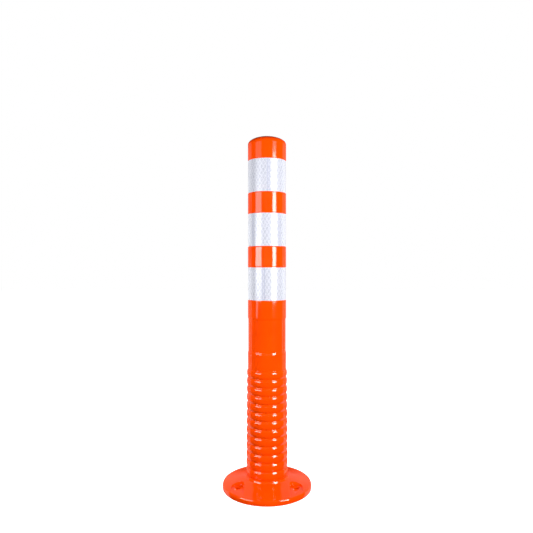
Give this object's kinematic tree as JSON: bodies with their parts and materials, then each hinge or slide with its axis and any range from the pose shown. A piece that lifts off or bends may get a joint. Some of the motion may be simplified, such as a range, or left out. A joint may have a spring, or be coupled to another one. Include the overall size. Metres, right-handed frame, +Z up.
{
  "type": "delineator post",
  "caption": "Round flexible delineator post with raised lands, reflective bands, a ribbed stretch that bends and a bolt-down flange.",
  "frame": {"origin": "centre of the flange's underside, on the road surface", "axes": "+Z up along the post's axis; -Y is the front, the side with two of the three bolt pockets; the third pocket is at +Y"},
  "size_m": [0.19, 0.19, 0.75],
  "materials": {
    "moulded_tpu": "semi-gloss orange thermoplastic polyurethane, injection moulded",
    "reflective_sheet": "white prismatic retroreflective sheeting"
  },
  "bodies": {
    "base": {"base_flange": "moulded_tpu", "lower_flex": "moulded_tpu"},
    "ring": {"middle_ring": "moulded_tpu"},
    "post": {"upper_flex": "moulded_tpu", "post_tube": "moulded_tpu", "reflective_band_lower": "reflective_sheet", "reflective_band_middle": "reflective_sheet", "reflective_band_upper": "reflective_sheet"}
  },
  "joints": [
    {"name": "bend_side", "type": "hinge", "parent": "base", "child": "ring", "pos_m": [0, 0, 0.08055], "axis": [0, 1, 0], "range_deg": [-80, 80], "stiffness_Nm_per_rad": 40, "deforming": ["lower_flex"]},
    {"name": "bend_front", "type": "hinge", "parent": "ring", "child": "post", "pos_m": [0, 0, 0.202], "axis": [1, 0, 0], "range_deg": [-80, 80], "stiffness_Nm_per_rad": 40, "deforming": ["upper_flex"]}
  ]
}
